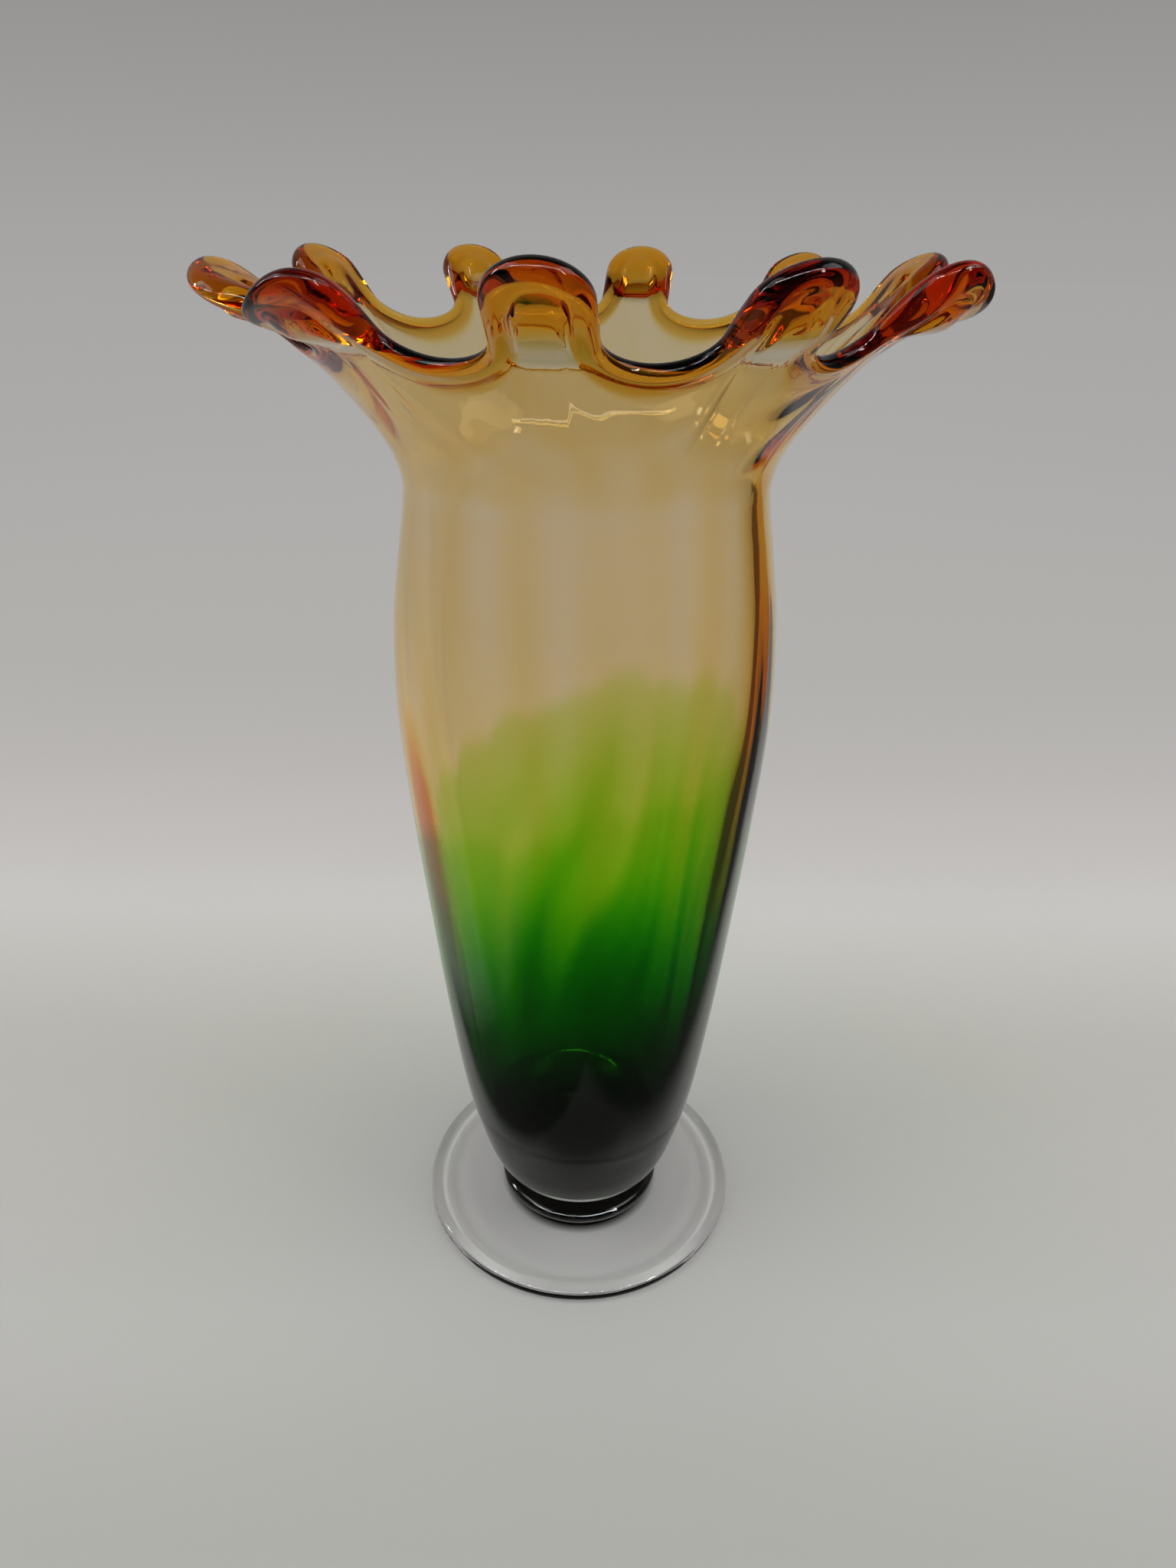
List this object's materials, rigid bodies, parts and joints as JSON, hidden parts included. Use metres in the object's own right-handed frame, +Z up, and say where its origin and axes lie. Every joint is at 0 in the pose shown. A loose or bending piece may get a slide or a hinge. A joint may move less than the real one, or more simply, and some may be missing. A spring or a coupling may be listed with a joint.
{
  "type": "glass vase",
  "caption": "Tall tapering blown glass vase on a flat round foot, with a flared rim of tongue-like petals; holds cut flowers and water.",
  "frame": {"origin": "centre of the foot's underside, on the table", "axes": "+Z up to the rim, -Y to the front"},
  "size_m": [0.2118, 0.2078, 0.3592],
  "materials": {
    "clear_glass": "polished",
    "green_glass": "polished",
    "amber_glass": "polished"
  },
  "bodies": {
    "root": {"foot": "clear_glass", "merese": "clear_glass", "clear_casing": "clear_glass", "green_cup": "green_glass", "amber_bowl": "amber_glass"}
  },
  "joints": []
}
